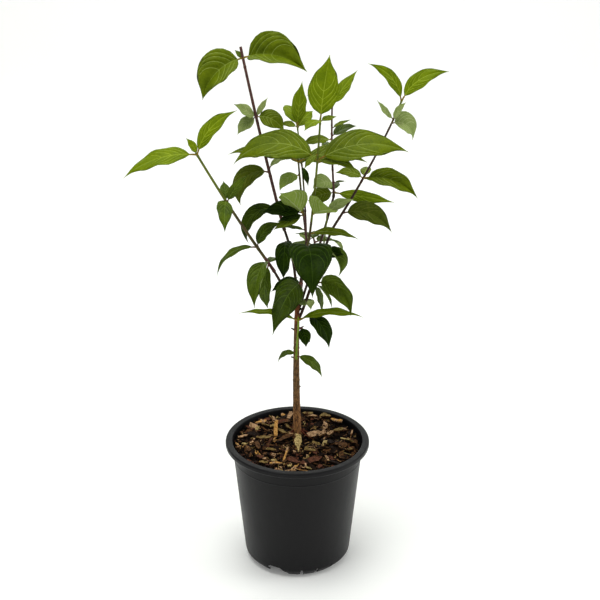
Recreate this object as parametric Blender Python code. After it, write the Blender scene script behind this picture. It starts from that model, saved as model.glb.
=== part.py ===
"""Young Chinese dogwood with several slender stems, in a round plastic nursery pot of bark mix.

The pot stands on z = 0 with the middle of its underside at the origin, and +Z is up. The side that
faces -Y is the front. Lengths in the tables are in millimetres and angles in degrees. A heading is
a compass direction seen from above, 0 to the right (+X) and 90 to the back (+Y), and a lean is
measured from the upright.
"""

import math
import random

import bmesh
import bpy
from mathutils import Vector

MM = 0.001
GAP = 0.3 * MM  # clearance between neighbouring solids
random.seed(11)

# Pot: a turned cup with a rolled rim, a chamfered foot and notches for drainage
POT_HEIGHT = 149 * MM
POT_SIDES = 56
RIM_RADIUS = 82.5 * MM
RIM_BAND = 6 * MM
RIM_ROUND = 1.6 * MM
MOUTH_RADIUS = 74.7 * MM
SHOULDER_RADIUS = 75.4 * MM  # outer wall just under the rim
SHOULDER_STEP = 1.0 * MM
STEP_DEPTH = 13 * MM  # the small step lies this far under the rim's top
WALL = 2.4 * MM
KNEE_RADIUS = 61 * MM  # outer wall where the foot's chamfer starts
KNEE_HEIGHT = 8 * MM
FOOT_RADIUS = 53 * MM
FLOOR = 14 * MM
WIDE_NOTCH = (24 * MM, 12.4 * MM)  # width, height
SMALL_NOTCH = (4 * MM, 10.4 * MM)
NOTCH_DEPTH = 16 * MM
NOTCH_GROUPS = 3
FIRST_NOTCH = -114  # degrees
SMALL_NOTCH_TURNS = (29, 47, 65)  # degrees on from each wide notch

# Bark mix: fills the pot, with an uneven top that rises to the foot of the trunk
MIX_LEVEL = 141 * MM
SEAT_LEVEL = 143 * MM
SEAT_RADIUS = 12 * MM
MIX_RIDGES = 1.6 * MM  # the chips stand this far out of the swells, or lie this far under them
MIX_SWELLS = (20 * MM, 23 * MM)  # length of the low swells, left to right and front to back
SWELL_HEIGHT = 1.0 * MM
MIX_CLEARANCE = 1.2 * GAP  # facets of the two round walls lie a little closer than their corners
MIX_RINGS = 9

# Trunk
TRUNK_FOOT = Vector((0, 22 * MM, SEAT_LEVEL + GAP))
TRUNK_RUN = ((215, 330), (2, 2), 172, (4.6, 2.7))  # headings, leans, length, radii
ROOT_FLARE = 2.0 * MM
FLARE_HEIGHT = 6 * MM
TRUNK_SIDES = 14
BOUGH_SIDES = 8
STEM_SIDES = 7

# Boughs: (what it grows from, share of the way along that, (heading at foot, at tip),
# (lean at foot, at tip), length, (radius at foot, at tip))
BOUGHS = {
    "bough_left": ("trunk", 0.98, (200, 196), (30, 27), 50, (1.7, 1.5)),
    "bough_upper_left": ("trunk", 0.96, (100, 175), (4, 20), 90, (1.7, 1.5)),
    "bough_centre": ("trunk", 1.0, (345, 360), (11, 6), 70, (2.2, 1.8)),
    "bough_right": ("trunk", 0.88, (30, 10), (22, 19), 105, (1.7, 1.5)),
    "bough_back": ("trunk", 0.93, (55, 28), (31, 16), 133, (1.5, 1.3)),
}

# Masses of foliage: each has a stem, told as the boughs are, and leaves. A leaf is (share of the
# way along the stem, heading, length, rise at its foot, droop from foot to tip, turn about its own
# length, width as a share of its length, and for some how far each half is folded up from the flat).
# Leaves stand in pairs, each pair across the last.
MASSES = {
    "foliage_left": (
        ("bough_left", 1.0, (194, 195), (33, 28), 159, (1.8, 1.3)),
        [
            (1.00, 184, 77, 4, 47, 20, 0.40),
            (1.00, 5, 60, 72, 55, -45, 0.32),
            (1.00, 165, 19, 70, 30, 30, 0.50),
            (0.61, 100, 23, 60, 40, 0, 0.50),
            (0.61, 269, 47, 16, 98, 20, 0.37, 10),
            (0.60, 20, 34, 60, 25, -40, 0.35),
            (0.20, 188, 56, 6, 90, 10, 0.24),
            (0.20, 0, 38, 80, 75, -35, 0.45),
            (0.07, 252, 63, 8, 109, -14, 0.37, 35),
            (0.05, 251, 54, -42, 95, -10, 0.30, 15),
            (0.05, 70, 26, 12, 50, 0, 0.45),
        ],
    ),
    "foliage_upper_left": (
        ("bough_upper_left", 1.0, (160, 161), (15, 12), 203, (1.8, 1.5)),
        [
            (0.94, 206, 61, -9, 66, 36, 0.71, 40),
            (0.94, 331, 75, 21, 53, -44, 0.65, 50),
            (0.93, 150, 12, 50, 20, 30, 0.50),
            (0.62, 188, 26, 35, 5, 20, 0.90),
            (0.62, 200, 26, -20, 45, 30, 0.66),
            (0.62, 20, 22, 60, 10, -20, 0.40),
            (0.62, 345, 34, 10, 78, -50, 0.60),
            (0.31, 204, 59, 19, 138, 38, 0.38, 21),
            (0.33, 20, 34, 50, 70, 50, 0.45),
            (0.10, 192, 61, 13, 135, 30, 0.32, 22),
        ],
    ),
    "foliage_centre_left": (
        ("bough_centre", 1.0, (188, 150), (7, 5), 91, (1.3, 1.0)),
        [
            (1.00, 174, 72, 28, 52, 15, 0.42),
            (1.00, 355, 70, 25, 55, -18, 0.42),
            (0.83, 205, 29, 14, 99, 8, 0.82, 10),
            (0.35, 222, 42, 48, 10, -42, 0.86, 44),
            (0.36, 175, 42, 12, 30, 34, 0.55, 34),
            (0.34, 192, 34, -14, 24, 28, 0.45),
            (0.33, 195, 28, 5, 30, 20, 0.42),
            (0.14, 178, 28, 20, 30, 10, 0.30),
            (0.08, 190, 11, 20, 30, 0, 0.40),
        ],
    ),
    "foliage_centre_back": (
        ("bough_centre", 0.97, (95, 130), (12, 12), 128, (1.1, 0.8)),
        [
            (1.00, 60, 44, 79, 8, 15, 0.50),
            (1.00, 110, 40, 45, 60, 0, 0.45),
            (0.99, 190, 18, 35, 60, 30, 0.50),
            (0.98, 60, 34, 35, 40, -20, 0.45),
            (0.66, 300, 22, -40, 40, 0, 0.35),
            (0.66, 100, 48, 15, 55, 0, 0.45),
            (0.30, 120, 44, 15, 60, 0, 0.45),
        ],
    ),
    "foliage_centre_front": (
        ("bough_centre", 0.97, (303, 288), (12, 9), 150, (1.4, 1.1)),
        [
            (0.69, 173, 95, 38, 95, 25, 0.45, 12),
            (0.69, 5, 94, 30, 55, -30, 0.44),
            (1.00, 65, 62, 76, 6, 0, 0.56),
            (1.00, 238, 30, 12, 40, 0, 0.50),
            (0.99, 30, 18, 20, 30, -20, 0.50),
            (0.67, 350, 42, 20, 65, -20, 0.36),
            (0.74, 215, 20, -20, 40, 10, 0.50),
            (0.25, 300, 42, 30, 14, 40, 0.95, 40),
            (0.09, 355, 50, 15, 45, -15, 0.32),
            (0.04, 350, 11, 30, 10, 0, 0.30),
        ],
    ),
    "foliage_back": (
        ("bough_back", 1.0, (120, 130), (8, -2), 100, (1.3, 1.0)),
        [
            (1.00, 30, 44, 56, 18, -30, 0.34),
            (1.00, 195, 30, 45, 40, 35, 0.42),
            (1.00, 112, 44, 35, 60, 0, 0.45),
            (0.75, 25, 22, 25, 20, -20, 0.30),
            (0.66, 5, 28, 40, 40, 45, 0.85),
            (0.62, 200, 34, 15, 45, 20, 0.45),
            (0.45, 85, 60, 15, 60, 0, 0.45),
            (0.32, 80, 50, 10, 60, 0, 0.45),
            (0.13, 215, 27, 25, 60, 30, 0.85, 20),
            (0.13, 350, 12, 20, 20, 40, 0.60),
            (0.03, 100, 50, 10, 60, 0, 0.45),
            (0.02, 353, 62, -5, 2, -40, 0.25, 10),
            (0.02, 190, 28, 0, 30, 38, 0.72),
        ],
    ),
    "foliage_right": (
        ("bough_right", 1.0, (14, 13), (34, 23), 161, (1.5, 1.0)),
        [
            (0.99, 180, 54, 78, 64, 50, 0.27),
            (1.00, 0, 57, 62, 65, -45, 0.34),
            (0.85, 338, 24, 66, 22, -50, 0.50),
            (0.86, 188, 26, 45, -10, 30, 0.42),
            (0.83, 13, 34, 7, 105, -39, 0.88, 29),
            (0.42, 80, 30, 20, 40, 0, 0.40),
            (0.41, 172, 30, 35, 60, 25, 0.50),
            (0.41, 347, 62, 12, 61, -58, 0.40, 46),
            (0.41, 335, 22, 0, 20, 0, 0.30),
            (0.13, 349, 58, 16, 75, -41, 0.45, 28),
        ],
    ),
    "foliage_inner_right": (
        ("bough_right", 0.55, (320, 320), (12, 5), 68, (1.0, 0.8)),
        [
            (1.00, 20, 32, 45, 50, -10, 0.62),
            (0.28, 330, 25, 25, 40, -35, 0.68),
            (0.32, 322, 38, 11, 129, 8, 0.72, 46),
        ],
    ),
    "foliage_inner_front": (
        ("bough_centre", 0.88, (275, 275), (60, 40), 7, (1.2, 1.1)),
        [
            (1.00, 276, 87, 27, 103, 1, 0.54, 23),
        ],
    ),
    "foliage_inner_left": (
        ("bough_upper_left", 0.8, (250, 250), (70, 60), 6, (1.1, 1.0)),
        [
            (1.00, 267, 55, 17, 148, -15, 0.37, 25),
        ],
    ),
    "foliage_low_left": (
        ("trunk", 0.985, (285, 285), (45, 10), 36, (1.2, 0.9)),
        [
            (0.98, 247, 81, 11, 75, 38, 0.37, 21),
            (1.00, 185, 34, 10, 60, 20, 0.52),
            (0.60, 215, 24, -20, 50, 0, 0.50),
        ],
    ),
    "foliage_low_right": (
        ("bough_right", 0.36, (300, 330), (60, 50), 8, (1.1, 0.9)),
        [
            (1.00, 324, 59, 21, 118, -63, 0.43, 44),
            (0.80, 343, 32, -41, 35, -1, 0.32, 38),
            (0.50, 336, 31, -62, 26, 0, 0.52),
        ],
    ),
    "foliage_inner_back": (
        ("bough_back", 0.5, (110, 100), (60, 40), 14, (1.1, 0.9)),
        [
            (1.00, 100, 56, 10, 75, 0, 0.45),
            (0.80, 45, 52, 5, 70, 0, 0.45),
            (0.60, 165, 46, 5, 70, 0, 0.45),
        ],
    ),
    "foliage_trunk_back": (
        ("trunk", 0.9, (95, 95), (60, 40), 12, (1.1, 0.9)),
        [
            (1.00, 65, 48, 0, 70, 0, 0.45),
            (0.80, 118, 46, 0, 70, 0, 0.45),
        ],
    ),
    "foliage_trunk_right": (
        ("trunk", 0.86, (340, 345), (60, 40), 12, (1.1, 0.9)),
        [
            (1.00, 314, 46, -4, 84, 0, 0.50),
            (0.80, 20, 24, 15, 40, 0, 0.50),
        ],
    ),
    "foliage_trunk_low": (
        ("trunk", 0.80, (318, 318), (60, 50), 5, (1.0, 0.8)),
        [
            (1.00, 287, 23, -20, 70, 0, 0.62),
            (0.80, 320, 18, -30, 50, 0, 0.45),
            (0.60, 330, 16, -50, 40, 0, 0.30),
            (0.50, 300, 13, -60, 30, 0, 0.50),
        ],
    ),
    "foliage_low_shoot": (
        ("trunk", 0.6, (270, 310), (26, -2), 52, (1.3, 1.0)),
        [
            (0.98, 184, 62, 26, 38, 5, 0.24),
            (0.99, 356, 68, 26, 48, -5, 0.26),
            (0.08, 190, 25, 32, 120, 10, 0.44),
            (0.02, 345, 37, -5, 74, -20, 0.38),
        ],
    ),
}

# Leaf blade: broadest a little below the middle, drawn out to a fine tip, folded along its midrib
LEAF_THICKNESS = 1.0 * MM
LEAF_FOLD = 14
LEAF_SHAPE = (0.72, 1.2)  # powers of the distances from foot and tip
LEAF_EDGE = 0.5 * MM  # half of the least width, at foot and tip
STALK_SHARE = 0.1
STALK_LIMITS = (2.5 * MM, 8 * MM)
STALK_HALF_WIDTH = 0.7 * MM
LEAF_RINGS = ((25 * MM, 4), (45 * MM, 5), (math.inf, 7))  # (up to this length, rings on the blade)
LEAF_CORNERS = 6  # on a ring: right edge, midrib and left edge, above and below
PATH_STEPS = 24
RING_STEPS = 3  # path steps to each ring of a limb
SHARP_ANGLE = math.radians(35)


def material(name, colour, roughness, metallic=0.0):
    made = bpy.data.materials.new(name)
    made.use_nodes = True
    shader = made.node_tree.nodes["Principled BSDF"]
    shader.inputs["Base Color"].default_value = (*colour, 1)
    shader.inputs["Roughness"].default_value = roughness
    shader.inputs["Metallic"].default_value = metallic
    return made


def shade(mesh):
    """Smooth shading, with every corner sharper than SHARP_ANGLE kept crisp."""
    mesh.shade_smooth()
    mesh.set_sharp_from_angle(angle=SHARP_ANGLE)


def add(name, vertices, faces, finish):
    """A new object with one material. Its faces are turned to point outwards."""
    mesh = bpy.data.meshes.new(name)
    mesh.from_pydata(vertices, [], faces)
    work = bmesh.new()
    work.from_mesh(mesh)
    bmesh.ops.recalc_face_normals(work, faces=work.faces)
    work.to_mesh(mesh)
    work.free()
    shade(mesh)
    mesh.materials.append(finish)
    made = bpy.data.objects.new(name, mesh)
    bpy.context.scene.collection.objects.link(made)
    return made


def toward(heading, lean):
    """Unit vector at a heading, leaning away from the upright."""
    heading = math.radians(heading)
    lean = math.radians(lean)
    out = math.sin(lean)
    return Vector((out * math.cos(heading), out * math.sin(heading), math.cos(lean)))


def limb_path(foot, headings, leans, length):
    """Points along a limb whose heading and lean change evenly from foot to tip."""
    points = [foot.copy()]
    for step in range(PATH_STEPS):
        share = (step + 0.5) / PATH_STEPS
        heading = headings[0] + (headings[1] - headings[0]) * share
        lean = leans[0] + (leans[1] - leans[0]) * share
        points.append(points[-1] + toward(heading, lean) * (length * MM / PATH_STEPS))
    return points


def along(path, share):
    """The point at a share of the way along a path."""
    place = share * (len(path) - 1)
    before = min(int(place), len(path) - 2)
    return path[before].lerp(path[before + 1], place - before)


def rings_to_faces(rings, sides):
    """Side faces between rings of vertices, and a cap on each end."""
    faces = []
    for ring in range(rings - 1):
        for side in range(sides):
            after = (side + 1) % sides
            low, high = ring * sides, (ring + 1) * sides
            faces.append((low + side, low + after, high + after, high + side))
    faces.append(tuple(reversed(range(sides))))
    faces.append(tuple(range((rings - 1) * sides, rings * sides)))
    return faces


def tube(name, path, radius_at, sides, finish, flat_foot=False):
    """A limb with its origin at its foot: rings square to the path, radius_at(share) wide."""
    vertices = []
    stations = list(range(0, len(path) - 1, RING_STEPS)) + [len(path) - 1]
    for station in stations:
        before, after = path[max(station - 1, 0)], path[min(station + 1, len(path) - 1)]
        ahead = (after - before).normalized()
        if flat_foot and station == 0:
            ahead = Vector((0, 0, 1))
        reference = Vector((1, 0, 0)) if abs(ahead.x) < 0.8 else Vector((0, 1, 0))
        across = (reference - ahead * reference.dot(ahead)).normalized()
        other = ahead.cross(across)
        radius = radius_at(station / (len(path) - 1))
        for side in range(sides):
            angle = 2 * math.pi * side / sides
            spoke = across * math.cos(angle) + other * math.sin(angle)
            vertices.append(path[station] + spoke * radius - path[0])
    made = add(name, vertices, rings_to_faces(len(stations), sides), finish)
    made.location = path[0]
    return made


def leaf(name, foot, row, finish):
    """A leaf with its stalk: one thin closed strip from inside the stem to the leaf's tip."""
    _, heading, length, rise, droop, turn, width, *folded = row
    blade_fold = folded[0] if folded else LEAF_FOLD
    length *= MM
    heading = math.radians(heading)
    turn = math.radians(turn)
    out = Vector((math.cos(heading), math.sin(heading), 0))
    level = Vector((math.sin(heading), -math.cos(heading), 0))
    up = Vector((0, 0, 1))
    count = next(rings for longest, rings in LEAF_RINGS if length < longest)
    rise_power, fall_power = LEAF_SHAPE
    widest = rise_power / (rise_power + fall_power)
    peak = widest**rise_power * (1 - widest) ** fall_power
    stalk = min(max(STALK_SHARE * length, STALK_LIMITS[0]), STALK_LIMITS[1])

    def frame(share):
        slope = math.radians(rise - droop * share)
        ahead = out * math.cos(slope) + up * math.sin(slope)
        above = up * math.cos(slope) - out * math.sin(slope)
        side = level * math.cos(turn) + above * math.sin(turn)
        return ahead, side, above * math.cos(turn) - level * math.sin(turn)

    ahead, side, above = frame(0)
    stations = [(foot, side, above, STALK_HALF_WIDTH, 0)]
    point = foot + ahead * stalk
    stations.append((point.copy(), side, above, STALK_HALF_WIDTH, 0))
    for step in range(1, count + 1):
        share = step / count
        point = point + frame(share - 0.5 / count)[0] * (length / count)
        half = 0.5 * width * length * share**rise_power * (1 - share) ** fall_power / peak
        ahead, side, above = frame(share)
        stations.append((point.copy(), side, above, max(half, LEAF_EDGE), blade_fold))
    vertices = []
    for point, side, above, half, fold in stations:
        fold = math.radians(fold)
        lift = above * (LEAF_THICKNESS / 2)
        edges = [side * (half * math.cos(fold)), -side * (half * math.cos(fold))]
        right, left = (point + edge + above * (half * math.sin(fold)) for edge in edges)
        vertices += [right + lift, point + lift, left + lift, left - lift, point - lift, right - lift]
    return add(name, vertices, rings_to_faces(len(stations), LEAF_CORNERS), finish)


def fuse(core, pieces):
    """Joins the pieces to the core with one union, and keeps its outer shell."""
    group = bpy.data.collections.new(core.name + "_pieces")
    for piece in pieces:
        group.objects.link(piece)
    union = core.modifiers.new("union", "BOOLEAN")
    union.operation = "UNION"
    union.solver = "MANIFOLD"
    union.operand_type = "COLLECTION"
    union.collection = group
    evaluated = core.evaluated_get(bpy.context.evaluated_depsgraph_get())
    fused = bpy.data.meshes.new_from_object(evaluated)
    core.modifiers.clear()
    core.data = fused
    for piece in pieces:
        bpy.data.objects.remove(piece)
    bpy.data.collections.remove(group)
    keep_outer_shell(fused)
    shade(fused)
    return core


def keep_outer_shell(mesh):
    """Drops every loose shell but the largest, so no sealed hollow or scrap is left."""
    work = bmesh.new()
    work.from_mesh(mesh)
    bmesh.ops.triangulate(work, faces=work.faces)
    shells = []
    left = set(work.verts)
    while left:
        shell = {left.pop()}
        front = list(shell)
        while front:
            here = front.pop()
            for edge in here.link_edges:
                there = edge.other_vert(here)
                if there in left:
                    left.remove(there)
                    shell.add(there)
                    front.append(there)
        shells.append(shell)
    largest = max(shells, key=len)
    spare = [vertex for vertex in work.verts if vertex not in largest]
    bmesh.ops.delete(work, geom=spare, context="VERTS")
    work.to_mesh(mesh)
    work.free()


def turned(name, profile, sides, finish):
    """A solid turned about the upright axis from a profile that starts and ends on it."""
    vertices = [Vector((0, 0, profile[0][1])), Vector((0, 0, profile[-1][1]))]
    for radius, height in profile[1:-1]:
        for side in range(sides):
            angle = 2 * math.pi * side / sides
            vertices.append(Vector((radius * math.cos(angle), radius * math.sin(angle), height)))
    rings = len(profile) - 2
    faces = []
    for side in range(sides):
        after = (side + 1) % sides
        faces.append((0, 2 + after, 2 + side))
        top = 2 + (rings - 1) * sides
        faces.append((1, top + side, top + after))
        for ring in range(rings - 1):
            low, high = 2 + ring * sides, 2 + (ring + 1) * sides
            faces.append((low + side, low + after, high + after, high + side))
    return add(name, vertices, faces, finish)


def wall_radius(height):
    """Outer radius of the pot's tapering wall at a height."""
    top = POT_HEIGHT - STEP_DEPTH
    share = (height - KNEE_HEIGHT) / (top - KNEE_HEIGHT)
    return KNEE_RADIUS + (SHOULDER_RADIUS - SHOULDER_STEP - KNEE_RADIUS) * share


def make_pot(finish):
    rim_under = POT_HEIGHT - RIM_BAND
    step = POT_HEIGHT - STEP_DEPTH
    profile = [
        (0, 0),
        (FOOT_RADIUS, 0),
        (KNEE_RADIUS, KNEE_HEIGHT),
        (wall_radius(step), step),
        (SHOULDER_RADIUS, step + SHOULDER_STEP),
        (SHOULDER_RADIUS, rim_under),
        (RIM_RADIUS - RIM_ROUND, rim_under),
        (RIM_RADIUS, rim_under + RIM_ROUND),
        (RIM_RADIUS, POT_HEIGHT - RIM_ROUND),
        (RIM_RADIUS - RIM_ROUND, POT_HEIGHT),
        (MOUTH_RADIUS, POT_HEIGHT),
        (MOUTH_RADIUS - WALL / 2, step),
        (wall_radius(FLOOR) - WALL, FLOOR),
        (0, FLOOR),
    ]
    pot = turned("pot", profile, POT_SIDES, finish)
    vertices, faces = [], []
    for group in range(NOTCH_GROUPS):
        first = FIRST_NOTCH + 360 * group / NOTCH_GROUPS
        cuts = [(first, WIDE_NOTCH)] + [(first + turn, SMALL_NOTCH) for turn in SMALL_NOTCH_TURNS]
        for heading, (width, height) in cuts:
            out = toward(heading, 90)
            side = Vector((-out.y, out.x, 0))
            start = len(vertices)
            for reach in (FOOT_RADIUS - NOTCH_DEPTH, KNEE_RADIUS + NOTCH_DEPTH):
                for low in (-height, height):
                    for edge in (-width / 2, width / 2):
                        vertices.append(out * reach + side * edge + Vector((0, 0, low)))
            box = ((0, 1, 3, 2), (4, 6, 7, 5), (0, 4, 5, 1), (2, 3, 7, 6), (0, 2, 6, 4), (1, 5, 7, 3))
            faces += [tuple(start + corner for corner in face) for face in box]
    notches = add("notches", vertices, faces, finish)
    cut = pot.modifiers.new("notches", "BOOLEAN")
    cut.operation = "DIFFERENCE"
    cut.object = notches
    evaluated = pot.evaluated_get(bpy.context.evaluated_depsgraph_get())
    notched = bpy.data.meshes.new_from_object(evaluated)
    pot.modifiers.clear()
    pot.data = notched
    shade(notched)
    bpy.data.objects.remove(notches)
    return pot


def mix_height(x, y, ridges):
    """Height of the mix: level, rising to a flat seat under the trunk, with swells and ridges."""
    away = math.hypot(x - TRUNK_FOOT.x, y - TRUNK_FOOT.y)
    rise = max(0.0, 1 - max(0.0, away - SEAT_RADIUS) / (3 * SEAT_RADIUS))
    rough = min(1.0, max(0.0, away - SEAT_RADIUS) / SEAT_RADIUS)
    across, along_y = (2 * math.pi * place / length for place, length in zip((x, y), MIX_SWELLS))
    swell = math.sin(across) * math.cos(along_y) * SWELL_HEIGHT
    level = MIX_LEVEL + (SEAT_LEVEL - MIX_LEVEL) * rise
    return level + rough * (ridges + swell)


def make_mix(finish):
    """Fills the cup, clear of its wall and floor."""
    low = (wall_radius(FLOOR) - WALL - MIX_CLEARANCE, FLOOR + GAP)
    high = (MOUTH_RADIUS - WALL / 2 - MIX_CLEARANCE, POT_HEIGHT - STEP_DEPTH)
    sides = POT_SIDES
    vertices = [Vector((0, 0, low[1]))]
    for radius, height in (low, high):
        for side in range(sides):
            angle = 2 * math.pi * side / sides
            vertices.append(Vector((radius * math.cos(angle), radius * math.sin(angle), height)))
    for ring in range(MIX_RINGS):
        radius = high[0] * (1 - ring / MIX_RINGS)
        for side in range(sides):
            angle = 2 * math.pi * side / sides
            x, y = radius * math.cos(angle), radius * math.sin(angle)
            ridges = random.uniform(-MIX_RIDGES, MIX_RIDGES)
            vertices.append(Vector((x, y, mix_height(x, y, ridges))))
    vertices.append(Vector((0, 0, mix_height(0, 0, 0))))
    rings = MIX_RINGS + 2
    faces = []
    for side in range(sides):
        after = (side + 1) % sides
        faces.append((0, 1 + after, 1 + side))
        top = 1 + (rings - 1) * sides
        faces.append((top + side, top + after, len(vertices) - 1))
        for ring in range(rings - 1):
            below, above = 1 + ring * sides, 1 + (ring + 1) * sides
            faces.append((below + side, below + after, above + after))
            faces.append((below + side, above + after, above + side))
    return add("bark_mix", vertices, faces, finish)


def limb_foot(path, parent_radii, share, headings, leans, radius):
    """Where a limb starts: off its parent's tip, or off the parent's side, with a small gap."""
    point = along(path, share)
    ahead = toward(headings[0], leans[0])
    if share == 1:
        slant = ahead.angle(path[-1] - path[-2])
        return point + ahead * (GAP + radius * math.sin(slant))
    parent_radius = (parent_radii[0] + (parent_radii[1] - parent_radii[0]) * share) * MM
    reach = parent_radius + radius * math.cos(math.radians(leans[0])) + GAP
    return point + toward(headings[0], 90) * reach


def make_trunk(finish):
    headings, leans, length, radii = TRUNK_RUN
    path = limb_path(TRUNK_FOOT, headings, leans, length)

    def radius_at(share):
        flare = ROOT_FLARE * math.exp(-share * length * MM / FLARE_HEIGHT)
        return (radii[0] + (radii[1] - radii[0]) * share) * MM + flare

    tube("trunk", path, radius_at, TRUNK_SIDES, finish, flat_foot=True)
    return path, radii


def make_limb(name, limbs, size, sides, finish):
    """A bough or a stem that grows from a limb already made."""
    parent, share, headings, leans, length, radii = size
    foot = limb_foot(*limbs[parent], share, headings, leans, radii[0] * MM)
    path = limb_path(foot, headings, leans, length)
    limbs[name] = (path, radii)
    taper = radii[1] - radii[0]
    return tube(name, path, lambda share: (radii[0] + taper * share) * MM, sides, finish)


def make_mass(name, limbs, size, rows, finish):
    stem = make_limb(name, limbs, size, STEM_SIDES, finish)
    path = limbs[name][0]
    leaves = [leaf(f"leaf_{row[0]}", along(path, row[0]), row, finish) for row in rows]
    return fuse(stem, leaves)


for thing in list(bpy.data.objects):
    bpy.data.objects.remove(thing)

black_plastic = material("black_plastic", (0.022, 0.023, 0.026), 0.42)
bark_mix = material("bark_mix", (0.055, 0.035, 0.022), 0.9)
trunk_bark = material("trunk_bark", (0.16, 0.095, 0.045), 0.85)
shoot_bark = material("shoot_bark", (0.11, 0.06, 0.045), 0.6)
leaf_green = material("leaf_green", (0.12, 0.22, 0.025), 0.45)

make_pot(black_plastic)
make_mix(bark_mix)
grown = {"trunk": make_trunk(trunk_bark)}
for bough, bough_size in BOUGHS.items():
    make_limb(bough, grown, bough_size, BOUGH_SIDES, shoot_bark)
for mass, (stem_size, leaf_rows) in MASSES.items():
    make_mass(mass, grown, stem_size, leaf_rows, leaf_green)

potted_plant = bpy.data.objects.new("potted_dogwood", None)
for piece in bpy.context.scene.collection.objects:
    piece.parent = potted_plant
bpy.context.scene.collection.objects.link(potted_plant)
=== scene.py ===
"""Looks of a young Chinese dogwood in its nursery pot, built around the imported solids.

Metres, +Z up: the pot stands on z = 0 with its middle at the origin, and its front faces -Y. In the
tables lengths are in millimetres and angles in degrees. A heading is a compass direction seen from
above, 0 to the right (+X) and 90 to the back (+Y), and a lean is measured from the upright.
"""

import math
import random

import bpy
import numpy as np
from mathutils import Matrix, Vector, noise


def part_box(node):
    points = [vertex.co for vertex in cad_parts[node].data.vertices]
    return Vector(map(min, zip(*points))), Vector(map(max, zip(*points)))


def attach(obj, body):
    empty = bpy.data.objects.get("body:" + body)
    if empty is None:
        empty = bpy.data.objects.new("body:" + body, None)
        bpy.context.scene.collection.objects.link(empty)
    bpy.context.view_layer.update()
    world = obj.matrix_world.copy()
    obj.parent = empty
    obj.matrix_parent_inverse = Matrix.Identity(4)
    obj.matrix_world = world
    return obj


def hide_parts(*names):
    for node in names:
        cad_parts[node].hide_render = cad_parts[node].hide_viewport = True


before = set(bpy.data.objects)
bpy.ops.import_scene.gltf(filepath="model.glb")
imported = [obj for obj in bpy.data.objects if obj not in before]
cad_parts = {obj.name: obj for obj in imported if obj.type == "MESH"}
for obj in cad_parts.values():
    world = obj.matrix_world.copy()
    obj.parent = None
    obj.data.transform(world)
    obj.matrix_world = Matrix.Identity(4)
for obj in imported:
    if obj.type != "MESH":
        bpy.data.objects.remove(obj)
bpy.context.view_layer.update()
MM = 0.001
random.seed(7)

# Nursery pot
# A round cup of black polypropylene, moulded in one shot: a flat rolled rim, a small step under it
# where pots stack in each other, a slanted foot, and notches in the foot's edge that let water out.
POT_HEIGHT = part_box("pot")[1].z
RIM_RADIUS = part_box("pot")[1].x
POT_SIDES = 180
MOUTH_RADIUS = 74.7 * MM
SHOULDER_RADIUS = 75.4 * MM  # outer wall just under the rim
SHOULDER_STEP = 1.0 * MM
STEP_DEPTH = 10 * MM  # the small step lies this far under the rim's top
BEAD_DEPTH, BEAD = 21 * MM, 0.35 * MM  # a fine raised line round the wall
RIM_BAND = 6 * MM
WALL = 2.4 * MM
KNEE_RADIUS, KNEE_HEIGHT = 61 * MM, 8 * MM
FOOT_RADIUS = 53 * MM
FLOOR = 14 * MM
UNDERSIDE = 11.4 * MM  # the floor is raised, and the pot stands on the edge of its wall
WIDE_NOTCH = (24 * MM, 12.4 * MM)  # width, height
SMALL_NOTCH = (4 * MM, 10.4 * MM)
NOTCH_DEPTH = 16 * MM
NOTCH_GROUPS, FIRST_NOTCH = 3, -114
SMALL_NOTCH_TURNS = (29, 47, 65)  # degrees on from each wide notch
FILLET_STEPS = 5


def seen(red, green, blue):
    """A colour as the eye reads it, each channel up to 255, for the shader."""
    shares = (channel / 255 for channel in (red, green, blue))
    return (*(s / 12.92 if s < 0.04 else ((s + 0.055) / 1.055) ** 2.4 for s in shares), 1)


class Varying:
    """A value that changes over a finish. Arithmetic on it adds Math nodes."""

    def __init__(self, finish, socket):
        self.finish, self.socket = finish, socket

    def maths(self, operation, first, second):
        return self.finish.node("Math", {"operation": operation}, {0: first, 1: second})

    def __add__(self, other):
        return self.maths("ADD", self, other)

    def __sub__(self, other):
        return self.maths("SUBTRACT", self, other)

    def __rsub__(self, other):
        return self.maths("SUBTRACT", other, self)

    def __mul__(self, other):
        return self.maths("MULTIPLY", self, other)

    def __pow__(self, other):
        return self.maths("POWER", self, other)

    __radd__, __rmul__ = __add__, __mul__


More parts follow.
